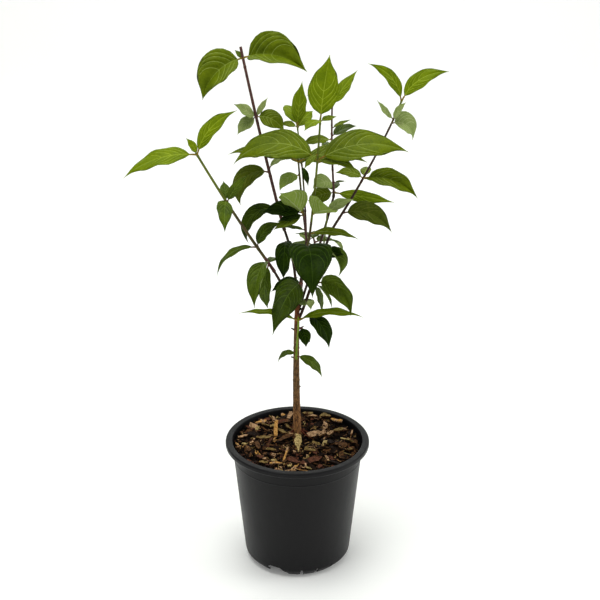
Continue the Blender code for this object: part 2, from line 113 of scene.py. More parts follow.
class Finish:
    """A surface: a Principled shader with plain values, and nodes for what changes over it."""

    def __init__(self, name, colour, roughness, **plain):
        self.material = bpy.data.materials.new(name)
        self.material.use_nodes = True
        self.tree = self.material.node_tree
        self.shader = self.tree.nodes["Principled BSDF"]
        self.shader.inputs["Base Color"].default_value = colour
        self.shader.inputs["Roughness"].default_value = roughness
        for socket, value in plain.items():
            self.shader.inputs[socket.replace("_", " ")].default_value = value

    def node(self, kind, settings, sockets, gives=0):
        """Adds a node: its settings first, then a value or a link for each of its sockets."""
        made = self.tree.nodes.new("ShaderNode" + kind)
        for setting, value in settings.items():
            if setting == "stops":
                for stop, (place, shade) in zip(made.color_ramp.elements, value):
                    stop.color, stop.position = (shade, shade, shade, 1), place
            else:
                setattr(made, setting, value)
        for socket, value in sockets.items():
            if isinstance(value, Varying):
                self.tree.links.new(value.socket, made.inputs[socket])
            else:
                made.inputs[socket].default_value = value
        return Varying(self, made.outputs[gives])

    def place(self, stretch=(1, 1, 1)):
        """Where a point lies in the frame, with each axis stretched."""
        spot = self.node("TexCoord", {}, {}, "Object")
        return self.node("VectorMath", {"operation": "MULTIPLY"}, {0: spot, 1: stretch})

    def cloud(self, size, detail=3.0, stretch=(1, 1, 1), rough=0.5):
        """Soft noise from 0 to 1 whose patches are about size metres across."""
        sockets = {"Vector": self.place(stretch), "Scale": 1 / size, "Detail": detail, "Roughness": rough}
        return self.node("TexNoise", {}, sockets)

    def cells(self, size, stretch=(1, 1, 1), feature="F1", gives="Distance"):
        sockets = {"Vector": self.place(stretch), "Scale": 1 / size}
        return self.node("TexVoronoi", {"feature": feature}, sockets, gives)

    def step(self, value, low, high):
        """0 below low, 1 above high, and a straight slope between."""
        return self.node("ValToRGB", {"stops": ((low, 0), (high, 1))}, {"Fac": value})

    def tint(self, share, colour, other):
        """A colour between two, by a share."""
        sockets = {0: share, 6: colour, 7: other}
        return self.node("Mix", {"data_type": "RGBA"}, sockets, 2)

    def drive(self, socket, value):
        self.tree.links.new(value.socket, self.shader.inputs[socket])

    def relief(self, height, depth, strength=1.0):
        sockets = {"Height": height, "Distance": depth, "Strength": strength}
        self.drive("Normal", self.node("Bump", {}, sockets))


class Joined:
    """Things of one kind gathered into one mesh, each face with the number of its finish."""

    def __init__(self):
        self.vertices, self.faces, self.tones = [], [], []

    def add(self, vertices, faces, tones):
        start = len(self.vertices)
        self.vertices.extend(vertices)
        self.faces.extend(tuple(start + corner for corner in face) for face in faces)
        self.tones.extend([tones] * len(faces) if isinstance(tones, int) else tones)

    def piece(self, name, finishes, slot, stands_for=()):
        mesh = bpy.data.meshes.new(name)
        mesh.from_pydata(self.vertices, [], self.faces)
        for finish in finishes:
            mesh.materials.append(finish.material)
        mesh.polygons.foreach_set("material_index", self.tones)
        mesh.shade_smooth()
        made = bpy.data.objects.new(name, mesh)
        bpy.context.scene.collection.objects.link(made)
        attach(made, "root")
        if stands_for:
            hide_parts(*stands_for)
        return made


def toward(heading, lean):
    """Unit vector at a heading, leaning away from the upright."""
    heading, lean = math.radians(heading), math.radians(lean)
    out = math.sin(lean)
    return Vector((out * math.cos(heading), out * math.sin(heading), math.cos(lean)))


def rounded(corners):
    """A profile of (radius, height, fillet) corners, with an arc in place of each corner."""
    points = [Vector(corners[0][:2])]
    for before, corner, after in zip(corners, corners[1:], corners[2:]):
        here, fillet = Vector(corner[:2]), corner[2]
        start = here + (Vector(before[:2]) - here).normalized() * fillet
        end = here + (Vector(after[:2]) - here).normalized() * fillet
        for step in range(FILLET_STEPS):
            share = step / (FILLET_STEPS - 1)
            points.append(start.lerp(here, share).lerp(here.lerp(end, share), share))
    return points + [Vector(corners[-1][:2])]


def turned(profile, sides):
    """Vertices and faces of a solid turned about the pot's axis."""
    vertices = [(0, 0, profile[0].y), (0, 0, profile[-1].y)]
    for radius, height in profile[1:-1]:
        for side in range(sides):
            angle = 2 * math.pi * side / sides
            vertices.append((radius * math.cos(angle), radius * math.sin(angle), height))
    faces, rings = [], len(profile) - 2
    for side in range(sides):
        after = (side + 1) % sides
        top = 2 + (rings - 1) * sides
        faces += [(0, 2 + after, 2 + side), (1, top + side, top + after)]
        for ring in range(rings - 1):
            low, high = 2 + ring * sides, 2 + (ring + 1) * sides
            faces.append((low + side, low + after, high + after, high + side))
    return vertices, faces


def wall_radius(height):
    """Outer radius of the pot's tapering wall at a height."""
    share = (height - KNEE_HEIGHT) / (POT_HEIGHT - STEP_DEPTH - KNEE_HEIGHT)
    return KNEE_RADIUS + (SHOULDER_RADIUS - SHOULDER_STEP - KNEE_RADIUS) * share


pot_plastic = Finish("pot_plastic", seen(22, 22, 24), 0.4, Specular_IOR_Level=0.16)
smears = pot_plastic.cloud(30 * MM, 4, (1, 1, 0.4))
grain = pot_plastic.cloud(0.5 * MM, 2)
pot_plastic.drive("Base Color", pot_plastic.tint(smears, seen(10, 10, 12), seen(20, 19, 21)))
pot_plastic.drive("Roughness", 0.3 + 0.24 * smears)
pot_plastic.relief(grain + 3 * pot_plastic.cloud(9 * MM, 2, (1, 1, 0.3)), 0.06 * MM)

rim_under, step_height = POT_HEIGHT - RIM_BAND, POT_HEIGHT - STEP_DEPTH
bead_height = POT_HEIGHT - BEAD_DEPTH
pot_profile = rounded(
    [
        (0, UNDERSIDE, 0),
        (wall_radius(UNDERSIDE) - WALL, UNDERSIDE, 1 * MM),
        (KNEE_RADIUS - WALL, KNEE_HEIGHT, 2 * MM),
        (FOOT_RADIUS - WALL, 0, 0.6 * MM),
        (FOOT_RADIUS, 0, 0.6 * MM),
        (KNEE_RADIUS, KNEE_HEIGHT, 3 * MM),
        (wall_radius(bead_height - 0.9 * MM), bead_height - 0.9 * MM, 0.3 * MM),
        (wall_radius(bead_height) + BEAD, bead_height, 0.3 * MM),
        (wall_radius(bead_height + 0.5 * MM), bead_height + 0.5 * MM, 0.2 * MM),
        (wall_radius(step_height), step_height, 0.4 * MM),
        (SHOULDER_RADIUS, step_height + SHOULDER_STEP, 0.4 * MM),
        (SHOULDER_RADIUS, rim_under, 0.8 * MM),
        (RIM_RADIUS - 0.6 * MM, rim_under, 0.6 * MM),
        (RIM_RADIUS, rim_under + 1.2 * MM, 0.6 * MM),
        (RIM_RADIUS, POT_HEIGHT - 1.2 * MM, 0.8 * MM),
        (RIM_RADIUS - 1.0 * MM, POT_HEIGHT, 0.5 * MM),
        (MOUTH_RADIUS, POT_HEIGHT - 0.2 * MM, 0.8 * MM),
        (MOUTH_RADIUS - WALL / 2, step_height, 0.5 * MM),
        (wall_radius(FLOOR) - WALL, FLOOR, 3 * MM),
        (0, FLOOR, 0),
    ]
)
cup = Joined()
cup.add(*turned(pot_profile, POT_SIDES), 0)
pot = cup.piece("nursery_pot", [pot_plastic], "black_plastic", ["pot"])
notches = Joined()
for group in range(NOTCH_GROUPS):
    first = FIRST_NOTCH + 360 * group / NOTCH_GROUPS
    cuts = [(first, WIDE_NOTCH)] + [(first + turn, SMALL_NOTCH) for turn in SMALL_NOTCH_TURNS]
    for heading, (width, height) in cuts:
        out = toward(heading, 90)
        side = Vector((-out.y, out.x, 0))
        corners = []
        for reach in (FOOT_RADIUS - 2 * WALL, KNEE_RADIUS + NOTCH_DEPTH):
            for edge, level in ((-0.5, -1), (0.5, -1), (0.5, 0.4), (0.2, 0.94), (-0.3, 1), (-0.5, 0.7)):
                corners.append(out * reach + side * (edge * width) + Vector((0, 0, level * height)))
        around = [(k, (k + 1) % 6, 6 + (k + 1) % 6, 6 + k) for k in range(6)]
        notches.add(corners, [tuple(range(5, -1, -1)), tuple(range(6, 12)), *around], 0)
cutter = notches.piece("notches", [pot_plastic], "black_plastic")
cut = pot.modifiers.new("notches", "BOOLEAN")
cut.operation, cut.object = "DIFFERENCE", cutter
notched = bpy.data.meshes.new_from_object(pot.evaluated_get(bpy.context.evaluated_depsgraph_get()))
pot.modifiers.clear()
pot.data = notched
notched.set_sharp_from_angle(angle=math.radians(50))
bpy.data.objects.remove(cutter)

# Bark mix
# Composted bark and peat, moist and nearly black, topped with chips and splinters of fresh bark and
# wood. Its near-black peat and dark bark are partly its own colour and partly painted shade of the
# gaps between chips. It fills the pot to just under the rim and is drawn up a little round the foot
# of the trunk.
MIX_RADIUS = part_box("bark_mix")[1].x
MIX_FOOT = (wall_radius(FLOOR) - WALL, FLOOR)  # radius and height of its bottom edge
MIX_LEVEL = 141 * MM
HEAP = 2.4 * MM  # how much higher it lies at the back
SEAT_LEVEL = 143 * MM
SEAT_RADIUS = 9 * MM
TRUNK_FOOT = Vector((0, 22 * MM, SEAT_LEVEL + 0.3 * MM))
BED_RINGS, BED_SIDES = 80, 190
CRUMBS = 3600
LOOSE_CHIPS = 760
SPLINTERS = 170
KEEP_OFF_TRUNK = 5.5 * MM
FLAKE_STATIONS = 6
TONES = ("peat", "dark", "brown", "red", "tan", "olive", "pale", "straw")
TORN_TONES = {"pale": "olive", "straw": "tan", "tan": "brown", "olive": "brown"}  # where skin is torn off
# The dark tone, the commonest, is partly painted shade of the gaps between chips.
CHIP_TONES = {"dark": 32, "brown": 24, "red": 16, "tan": 8, "olive": 12, "pale": 3, "straw": 2}
SPLINTER_TONES = {"dark": 24, "brown": 25, "red": 10, "tan": 17, "olive": 14, "straw": 8, "pale": 2}
# Chips that stand out: (x, y, heading, pitch, length, width, thickness, tone), and for one that is
# drawn out to a tip how much
MARKED_CHIPS = (
    (-25, 23, 268, -14, 33, 4.5, 1.6, "straw"),
    (-14, -36, 257, -14, 30, 2.6, 1.2, "straw", 0.6),
    (1, -9, 269, -20, 26, 8.5, 1.6, "pale", 0.8),
    (23, 19, 16, 5, 23, 12, 3.0, "tan"),
    (38, 23, 36, 4, 9, 7, 2.2, "tan"),
    (-15, 6, 40, 6, 24, 8, 2.0, "brown"),
    (-18, 23, 304, 6, 20, 6, 1.6, "olive"),
    (15, -45, 25, 5, 26, 13, 2.4, "red", 0.4),
    (-5, -43, 307, 6, 18, 8, 2.0, "red"),
    (57, 35, 37, 10, 12, 11, 2.4, "red"),
    (63, 17, 257, -16, 17, 2.0, 1.0, "tan", 0.6),
    (57, 4, 326, 4, 16, 2.4, 1.0, "pale"),
    (51, -7, 321, 5, 16, 10, 2.0, "brown"),
    (33, 60, 329, 8, 14, 8, 1.8, "olive"),
    (46, 50, 323, 6, 14, 5, 1.6, "straw"),
    (12, 67, 342, 6, 16, 6, 1.6, "olive"),
    (18, 60, 345, 4, 12, 4, 1.4, "tan"),
    (-10, 60, 76, 12, 16, 6, 1.6, "tan"),
    (-17, 64, 298, 6, 9, 5, 1.4, "straw"),
    (-43, 47, 16, 4, 13, 5, 1.6, "straw"),
    (-37, 55, 29, 4, 11, 9, 1.8, "red"),
    (-61, 17, 25, 4, 17, 5, 1.4, "tan"),
    (-55, 33, 307, 5, 14, 6, 1.8, "red"),
    (-47, 33, 59, 6, 7, 6, 1.8, "pale"),
    (-40, 12, 353, 4, 17, 6, 1.4, "olive"),
    (-52, -1, 70, 8, 17, 2.2, 1.0, "tan"),
    (-61, -2, 326, 4, 6, 5, 1.4, "pale"),
    (-56, -15, 287, 4, 16, 5, 1.6, "brown"),
    (-46, -8, 282, 5, 22, 6, 1.8, "brown"),
    (-42, -34, 312, 4, 13, 7, 1.8, "red"),
    (-37, -39, 322, 4, 8, 4, 1.6, "tan"),
    (-24, -50, 356, 4, 14, 3.4, 1.4, "straw"),
    (-26, -41, 0, 4, 6, 5, 1.8, "pale"),
    (-8, -53, 22, 4, 5, 5, 1.6, "pale"),
    (-1, -54, 60, 4, 6, 3.4, 1.4, "straw"),
    (38, -20, 333, 5, 17, 9, 2.0, "brown"),
    (33, 0, 343, 5, 8, 9, 2.0, "pale"),
    (48, 28, 9, 4, 13, 7, 1.8, "olive"),
    (33, 51, 327, 4, 12, 7, 1.8, "brown"),
    (64, 1, 294, 4, 13, 7, 1.8, "brown"),
    (61, -16, 27, 4, 9, 5, 1.6, "olive"),
    (16, -19, 322, 4, 10, 6, 1.6, "olive"),
    (39, -37, 300, 4, 11, 7, 1.8, "red"),
    (-13, 49, 21, 5, 12, 8, 1.8, "brown"),
    (-29, 38, 341, 4, 7, 7, 1.6, "olive"),
    (11, -37, 72, 6, 11, 3, 1.2, "olive"),
    (10, 17, 307, 8, 13, 5, 2.2, "red"),
)


def bed_height(x, y):
    """Height of the mix at a place: lumps of three sizes, smooth under the trunk."""
    spot = Vector((x, y, 0)) / MM
    lumps = 1.5 * noise.noise(spot / 11) + 1.1 * noise.noise(spot / 4.5) + 0.6 * noise.noise(spot / 1.9)
    away = math.hypot(x - TRUNK_FOOT.x, y - TRUNK_FOOT.y)
    near = max(0.0, 1 - max(0.0, away - SEAT_RADIUS) / (3 * SEAT_RADIUS))
    loose = min(1.0, max(0.1, away - SEAT_RADIUS / 2) / SEAT_RADIUS)
    heap = HEAP * max(0.0, y / MIX_RADIUS) * (1 - near)
    return MIX_LEVEL + heap + (SEAT_LEVEL - MIX_LEVEL) * near + lumps * loose * MM


def rings_to_faces(rings, sides):
    """Side faces between rings of vertices, and a cap on each end."""
    faces = []
    for ring in range(rings - 1):
        for side in range(sides):
            after = (side + 1) % sides
            low, high = ring * sides, (ring + 1) * sides
            faces.append((low + side, low + after, high + after, high + side))
    faces.append(tuple(reversed(range(sides))))
    faces.append(tuple(range((rings - 1) * sides, rings * sides)))
    return faces


def flake(length, width, thickness, tip=0.0):
    """A torn flake of bark lying along X: a bent slab with slanting ends and ragged edges."""
    points, bend, warp = [], random.uniform(-0.08, 0.08) * length, random.uniform(-0.3, 0.3)
    for station in range(FLAKE_STATIONS):
        share = 2 * station / (FLAKE_STATIONS - 1) - 1
        whole = 1 - abs(share) ** 3 * random.uniform(0.1, 0.75) - tip * max(0.0, share)
        spots = []
        for side in (-1, 1):
            slip = random.uniform(-0.09, 0.09) * length
            across = side * width / 2 * max(0.06, whole * random.uniform(0.6, 1.2))
            spots.append((share * length / 2 + slip, across))
        for (x, y), lift in zip((*spots, *reversed(spots)), (-0.5, -0.5, 0.5, 0.5)):
            level = bend * (1 - share * share) + warp * share * y
            points.append(Vector((x, y, level + lift * thickness * random.uniform(0.6, 1.4))))
    return points


def flake_tones(tone):
    """The finish of each face of a flake: torn dark along its edges, and here and there on top."""
    torn = TORN_TONES.get(tone, "dark")
    tones = []
    for _ in range(FLAKE_STATIONS - 1):
        tones += [torn, torn, random.choices((tone, torn), (4, 1))[0], torn]
    return [TONES.index(name) for name in (*tones, torn, torn)]


def laid(points, x, y, heading, pitch, roll, lift):
    """Points turned and set down on the mix, or None where they would touch pot or trunk."""
    turn = Matrix.Rotation(math.radians(heading), 3, "Z") @ Matrix.Rotation(-math.radians(pitch), 3, "Y")
    turn = turn @ Matrix.Rotation(math.radians(roll), 3, "X")
    foot = Vector((x, y, bed_height(x, y) + lift))
    set_down = [turn @ point + foot for point in points]
    for point in set_down:
        if math.hypot(point.x, point.y) > MIX_RADIUS - 0.2 * MM:
            return None
        if math.hypot(point.x - TRUNK_FOOT.x, point.y - TRUNK_FOOT.y) < KEEP_OFF_TRUNK:
            return None
    return set_down


def somewhere():
    """A random place on the mix, evenly spread."""
    radius, angle = MIX_RADIUS * math.sqrt(random.random()), random.uniform(0, 2 * math.pi)
    return radius * math.cos(angle), radius * math.sin(angle)


def pick(shares):
    return random.choices(list(shares), list(shares.values()))[0]


def bark_finish(name, dark, light, rough=0.75):
    """Dead bark or wood: streaks of two shades, pores, and a dry or a moist surface."""
    made = Finish(name, light, rough, Specular_IOR_Level=0.04)
    streaks = made.cloud(2.2 * MM, 4, rough=0.7)
    pores = made.cloud(0.5 * MM, 2)
    made.drive("Base Color", made.tint(made.step(streaks, 0.36, 0.6), dark, light))
    made.drive("Roughness", rough - 0.2 * streaks)
    made.relief(streaks + 0.5 * pores, 0.5 * MM)
    return made


mix_finishes = [
    # Peat and bark_dark are near-black: partly the moist mix's own colour, partly painted shade of the gaps
    # between chips.
    bark_finish("peat", seen(4, 3, 3), seen(15, 10, 8), 0.85),
    bark_finish("bark_dark", seen(10, 6, 5), seen(38, 25, 17), 0.7),
    bark_finish("bark_brown", seen(34, 21, 12), seen(100, 68, 40)),
    bark_finish("bark_red", seen(38, 21, 13), seen(102, 62, 44)),
    bark_finish("bark_tan", seen(96, 68, 42), seen(200, 162, 122)),
    bark_finish("bark_olive", seen(64, 50, 24), seen(148, 124, 74)),
    bark_finish("wood_pale", seen(96, 74, 34), seen(206, 182, 122)),
    bark_finish("wood_straw", seen(128, 86, 38), seen(208, 158, 88)),
]

bed_vertices = [(0, 0, bed_height(0, 0))]
for ring in range(1, BED_RINGS + 1):
    radius = MIX_RADIUS * ring / BED_RINGS
    for side in range(BED_SIDES):
        angle = 2 * math.pi * side / BED_SIDES
        x, y = radius * math.cos(angle), radius * math.sin(angle)
        bed_vertices.append((x, y, bed_height(x, y)))
for side in range(BED_SIDES):
    angle = 2 * math.pi * side / BED_SIDES
    bed_vertices.append((MIX_FOOT[0] * math.cos(angle), MIX_FOOT[0] * math.sin(angle), MIX_FOOT[1]))
bed_faces = [(0, 1 + side, 1 + (side + 1) % BED_SIDES) for side in range(BED_SIDES)]
for ring in range(BED_RINGS):
    for side in range(BED_SIDES):
        inner, outer = 1 + ring * BED_SIDES, 1 + (ring + 1) * BED_SIDES
        after = (side + 1) % BED_SIDES
        bed_faces.append((inner + side, outer + side, outer + after, inner + after))
bed_faces.append(tuple(reversed(range(1 + BED_RINGS * BED_SIDES, 1 + (BED_RINGS + 1) * BED_SIDES))))
bed = Joined()
bed.add(bed_vertices, bed_faces, 0)
bed.piece("mix_bed", mix_finishes[:1], "bark_mix", ["bark_mix"])

crumbs, chips = Joined(), Joined()
lump = [Vector(spot) for spot in ((1, 0, 0), (0, 1, 0), (-1, 0, 0), (0, -1, 0), (0, 0, 1), (0, 0, -1))]
lump_faces = [(k, (k + 1) % 4, 4) for k in range(4)] + [((k + 1) % 4, k, 5) for k in range(4)]
flake_faces = rings_to_faces(FLAKE_STATIONS, 4)
for _ in range(CRUMBS):
    size = random.uniform(0.5, 1.7) * MM
    points = [corner * size * random.uniform(0.5, 1.2) for corner in lump]
    lying = laid(points, *somewhere(), random.uniform(0, 360), 0, 0, 0.2 * size)
    if lying:
        crumbs.add(lying, lump_faces, TONES.index(pick({"peat": 60, "dark": 30, "brown": 10})))
for _ in range(LOOSE_CHIPS):
    length = random.uniform(3, 8) * MM if random.random() < 0.7 else random.uniform(8, 15) * MM
    made = flake(length, length * random.uniform(0.25, 0.65), random.uniform(0.6, 1.6) * MM)
    tilt = (random.uniform(0, 360), random.uniform(-26, 26), random.uniform(-35, 35))
    lying = laid(made, *somewhere(), *tilt, random.uniform(0, 2.6) * MM)
    if lying:
        chips.add(lying, flake_faces, flake_tones(pick(CHIP_TONES)))
for x, y, heading, pitch, length, width, thickness, tone, *tip in MARKED_CHIPS:
    made = flake(length * MM, width * MM, thickness * MM, *tip)
    lift = (2.4 + math.sin(math.radians(abs(pitch))) * length / 2) * MM
    lying = laid(made, x * MM, y * MM, heading, pitch, 0, lift)
    if lying:
        chips.add(lying, flake_faces, flake_tones(tone))
for _ in range(SPLINTERS):
    length = random.uniform(5, 16) * MM
    thin = random.uniform(0.4, 1.1) * MM
    tilt = (random.uniform(0, 360), random.uniform(-14, 20), 0)
    lying = laid(flake(length, thin, thin), *somewhere(), *tilt, random.uniform(0.8, 3) * MM)
    if lying:
        chips.add(lying, flake_faces, flake_tones(pick(SPLINTER_TONES)))
for name, gathered in (("mix_crumbs", crumbs), ("mix_chips", chips)):
    gathered.piece(name, mix_finishes, "bark_mix").data.shade_flat()

# Trunk and boughs
# The trunk of a few years' growth, brown and finely cracked, parts near its top into five slender
# boughs of smooth purple-brown bark. Each bough grows out of the wood of the one that carries it.
TRUNK_RUN = ((215, 330), (2, 2), 172, (4.6, 2.7))  # headings, leans, length, radii
ROOT_FLARE = 1.2
FLARE_HEIGHT = 6.0
ROOT_LOBES = 0.8  # how far the buttresses of the roots stand out at the foot
GAP = 0.3  # clearance between the solids, closed here by the wood between them
PATH_STEPS = 24
CRACK_DEPTH = 0.42
CRACK_WIDTH = 1.9
TRUNK_NODES = (38, 71, 112, 149)  # heights of the ring scars above the mix
# Dead stubs and sleeping buds on the trunk: (height above the mix, heading, lean, length, radius)
TRUNK_STUBS = (
    (135, 185, 60, 3.6, 1.0),
    (100, 195, 70, 3.0, 1.1),
    (61, 20, 65, 1.8, 1.3),
    (163, 20, 40, 4.6, 1.3),
    (167, 320, 30, 4.4, 1.5),
    (160, 350, 60, 3.6, 1.2),
)
OLDEST_BARK = (0.165, 0.205)  # heights between which the pale rough bark of the foot ends
NEWEST_BARK = (0.27, 0.29)  # and the red-brown bark of the newest wood begins
# Roots that show above the mix: (heading, how far that bends, length, radius)
ROOTS = ((8, 30, 30, 1.5), (335, -20, 24, 1.3), (205, 25, 18, 1.3), (100, 30, 24, 1.4))
BUD_HEIGHT, BUD_HEADING = 0.97, 322
SPUR_LENGTH, SPUR_RADIUS = 8.5, 1.1  # of the short spur that carries the cluster of buds
BUD_CLUSTER = ((0, 50), (60, 70), (120, 40), (190, 75), (250, 55), (310, 80), (330, 25))
# Boughs: (what it grows from, share of the way along that, (heading at foot, at tip),
# (lean at foot, at tip), length, (radius at foot, at tip))
BOUGHS = {
    "bough_left": ("trunk", 0.98, (200, 196), (30, 27), 50, (1.7, 1.5)),
    "bough_upper_left": ("trunk", 0.96, (100, 175), (4, 20), 90, (1.7, 1.5)),
    "bough_centre": ("trunk", 1.0, (345, 360), (11, 6), 70, (2.2, 1.8)),
    "bough_right": ("trunk", 0.88, (30, 10), (22, 19), 105, (1.7, 1.5)),
    "bough_back": ("trunk", 0.93, (55, 28), (31, 16), 133, (1.5, 1.3)),
}


def limb_path(foot, headings, leans, length):
    """Points along a limb whose heading and lean change evenly from foot to tip."""
    points = [foot.copy()]
    for step in range(PATH_STEPS):
        share = (step + 0.5) / PATH_STEPS
        heading = headings[0] + (headings[1] - headings[0]) * share
        lean = leans[0] + (leans[1] - leans[0]) * share
        points.append(points[-1] + toward(heading, lean) * (length * MM / PATH_STEPS))
    return points


def along(path, share):
    """The point at a share of the way along a path."""
    place = share * (len(path) - 1)
    before = min(int(place), len(path) - 2)
    return path[before].lerp(path[before + 1], place - before)


def ahead_at(path, share):
    return (along(path, min(share + 0.03, 1)) - along(path, max(share - 0.03, 0))).normalized()


def grown_from(parent, share, headings, leans, length, radii):
    """A limb's path by the solids' rule, and the wood that leads to it from inside its parent."""
    path, parent_radii = limbs[parent]
    point, ahead = along(path, share), toward(headings[0], leans[0])
    if share == 1:
        slant = ahead.angle(path[-1] - path[-2])
        foot = point + ahead * (GAP + radii[0] * math.sin(slant)) * MM
        joint = point - ahead_at(path, 1) * 2 * radii[0] * MM
    else:
        parent_radius = parent_radii[0] + (parent_radii[1] - parent_radii[0]) * share
        reach = parent_radius + radii[0] * math.cos(math.radians(leans[0])) + GAP
        foot = point + toward(headings[0], 90) * reach * MM
        joint = point - ahead_at(path, share) * reach * MM / math.tan(math.radians(max(leans[0], 35)))
    run = limb_path(foot, headings, leans, length)
    bend = [joint.lerp(foot, t).lerp(foot.lerp(run[2], t), t) for t in (0, 0.2, 0.4, 0.6, 0.8)]
    return run, bend + run[2:]


def cracked(angle, height, seed):
    """How far the bark is drawn in at a place: long cracks that wander, and fine grain."""
    spot = Vector((3 * math.cos(angle), 3 * math.sin(angle), height / (3.2 * CRACK_WIDTH) + seed))
    crack = abs(noise.noise(spot)) / 0.22
    grain = noise.noise(Vector((9 * math.cos(angle), 9 * math.sin(angle), height / 2 + seed)))
    return max(0.0, 1 - crack) + 0.35 * grain


def sleeve(path, rings, sides, radius_at, seed=0, relief=0.0):
    """Rings of vertices square to a path, their radii in millimetres, with relief as bark."""
    run = (path[-1] - path[0]).normalized()
    reference = Vector((0, 1, 0)) if abs(run.y) < 0.8 else Vector((1, 0, 0))
    vertices, height, last = [], 0, path[0]
    for ring in range(rings):
        share = ring / (rings - 1)
        centre, ahead = along(path, share), ahead_at(path, share)
        height, last = height + (centre - last).length / MM, centre
        across = (reference - ahead * reference.dot(ahead)).normalized()
        other = ahead.cross(across)
        for side in range(sides):
            angle = 2 * math.pi * side / sides
            radius = radius_at(height, angle)
            if relief:
                radius -= relief * cracked(angle, height, seed)
            vertices.append(centre + (across * math.cos(angle) + other * math.sin(angle)) * radius * MM)
    return vertices


def ring_scars(height, places, depth=0.35):
    return sum(depth * math.exp(-(((height - place) / 0.9) ** 2)) for place in places)


def trunk_radius(height, angle):
    share = min(height / TRUNK_RUN[2], 1)
    radius = TRUNK_RUN[3][0] + (TRUNK_RUN[3][1] - TRUNK_RUN[3][0]) * share
    lobes = ROOT_LOBES * (0.5 + 0.5 * math.sin(5 * angle + 1.1 * math.sin(2 * angle)))
    flare = (ROOT_FLARE + lobes) * math.exp(-height / FLARE_HEIGHT)
    return radius + flare + ring_scars(height, TRUNK_NODES)


def spike(foot, ahead, length, radius, blunt=0.0):
    """A bud, or a broken stub when blunt: rings of a small pointed body."""
    path = [foot + ahead * (length * MM * step / 6) for step in range(7)]
    swell = (0.75, 0.95, 1.0, 0.9, 0.68, 0.38, 0.06)
    dull = (1.3, 1.0, 0.9, 0.85, 0.8, 0.7, 0.6)
    shape = [a + (b - a) * blunt for a, b in zip(swell, dull)]
    place = iter(range(7 * 8))
    return sleeve(path, 7, 8, lambda height, angle: radius * shape[next(place) // 8])


trunk_bark = Finish("trunk_bark", seen(122, 92, 58), 0.85)
fissures = trunk_bark.cloud(1.6 * MM, 5, (1, 1, 0.3), 0.65)
plates = trunk_bark.cells(2.6 * MM, (1, 1, 0.35), "DISTANCE_TO_EDGE")
flecks = trunk_bark.step(trunk_bark.cloud(1.3 * MM, 3, (1, 1, 0.6)), 0.53, 0.62)
height = trunk_bark.node("SeparateXYZ", {}, {"Vector": trunk_bark.place()}, "Z")
worn = trunk_bark.step(fissures, 0.35, 0.62)
oldest = trunk_bark.tint(worn, seen(88, 56, 26), seen(196, 138, 80))
older = trunk_bark.tint(worn, seen(58, 38, 14), seen(142, 104, 56))
newest = trunk_bark.tint(worn, seen(78, 36, 10), seen(146, 78, 30))
coloured = trunk_bark.tint(trunk_bark.step(height, *OLDEST_BARK), oldest, older)
coloured = trunk_bark.tint(trunk_bark.step(height, *NEWEST_BARK), coloured, newest)
trunk_bark.drive("Base Color", trunk_bark.tint(0.6 * flecks, coloured, seen(44, 26, 12)))
trunk_bark.drive("Roughness", 0.95 - 0.2 * fissures)
trunk_bark.relief(fissures + trunk_bark.step(plates, 0.0, 0.12), 0.45 * MM)


def smooth_bark(name, dark, light, rough):
    """Young bark: a fine lengthwise grain, a soft bloom, and small pale breathing pores."""
    made = Finish(name, light, rough, Specular_IOR_Level=0.25)
    grain = made.cloud(1.1 * MM, 4, (1, 1, 0.25))
    bloom = made.cloud(14 * MM, 3)
    pores = 1 - made.step(made.cells(2.3 * MM, (1, 1, 0.6)), 0.1, 0.16)
    skin = made.tint(made.step(0.5 * grain + 0.5 * bloom, 0.36, 0.62), dark, light)
    made.drive("Base Color", made.tint(0.5 * pores, skin, seen(150, 130, 98)))
    made.drive("Roughness", rough + 0.2 * (grain - 0.5))
    made.relief(grain + 0.6 * pores, 0.2 * MM)
    return made


shoot_finishes = [
    smooth_bark("bark_old", seen(36, 22, 16), seen(74, 48, 36), 0.6),
    smooth_bark("bark_purple", seen(58, 34, 32), seen(104, 66, 62), 0.55),
    smooth_bark("bark_olive", seen(58, 50, 16), seen(94, 82, 38), 0.55),
    smooth_bark("bark_green", seen(72, 86, 2), seen(108, 118, 26), 0.5),
    smooth_bark("bark_fresh", seen(96, 124, 4), seen(134, 160, 30), 0.5),
]

wood = Joined()
trunk_path = limb_path(TRUNK_FOOT, *TRUNK_RUN[:3])
limbs = {"trunk": (trunk_path, TRUNK_RUN[3])}
wood.add(sleeve(trunk_path, 260, 60, trunk_radius, 4, CRACK_DEPTH), rings_to_faces(260, 60), 0)
for height, heading, lean, length, radius in TRUNK_STUBS:
    foot = along(trunk_path, height / TRUNK_RUN[2]) + toward(heading, 90) * 2.6 * MM
    wood.add(spike(foot, toward(heading, lean), length + 1, radius, 0.8), rings_to_faces(7, 8), 3)
for heading, bend, length, radius in ROOTS:
    start = along(trunk_path, 0.06)
    path = limb_path(start, (heading, heading + bend), (142, 88), length)
    root = sleeve(path, 40, 14, lambda height, angle: radius * (1.2 - 0.8 * height / length), heading, 0.25)
    wood.add(root, rings_to_faces(40, 14), 1)
spur_foot, spur_ahead = along(trunk_path, BUD_HEIGHT), toward(BUD_HEADING, 75)
wood.add(spike(spur_foot, spur_ahead, SPUR_LENGTH, SPUR_RADIUS, 1), rings_to_faces(7, 8), 0)
for turn, lean in BUD_CLUSTER:
    foot = spur_foot + spur_ahead * SPUR_LENGTH * MM
    wood.add(spike(foot, toward(turn, lean), 5.5, 1.9), rings_to_faces(7, 8), 2)
root_bark = bark_finish("root_bark", seen(44, 20, 12), seen(110, 58, 40))
bud_scales = smooth_bark("bud_scales", seen(66, 84, 28), seen(120, 134, 72), 0.55)
dead_wood = bark_finish("dead_wood", seen(22, 14, 10), seen(60, 40, 30))
wood.piece("trunk_wood", [trunk_bark, root_bark, bud_scales, dead_wood], "trunk_bark", ["trunk"])
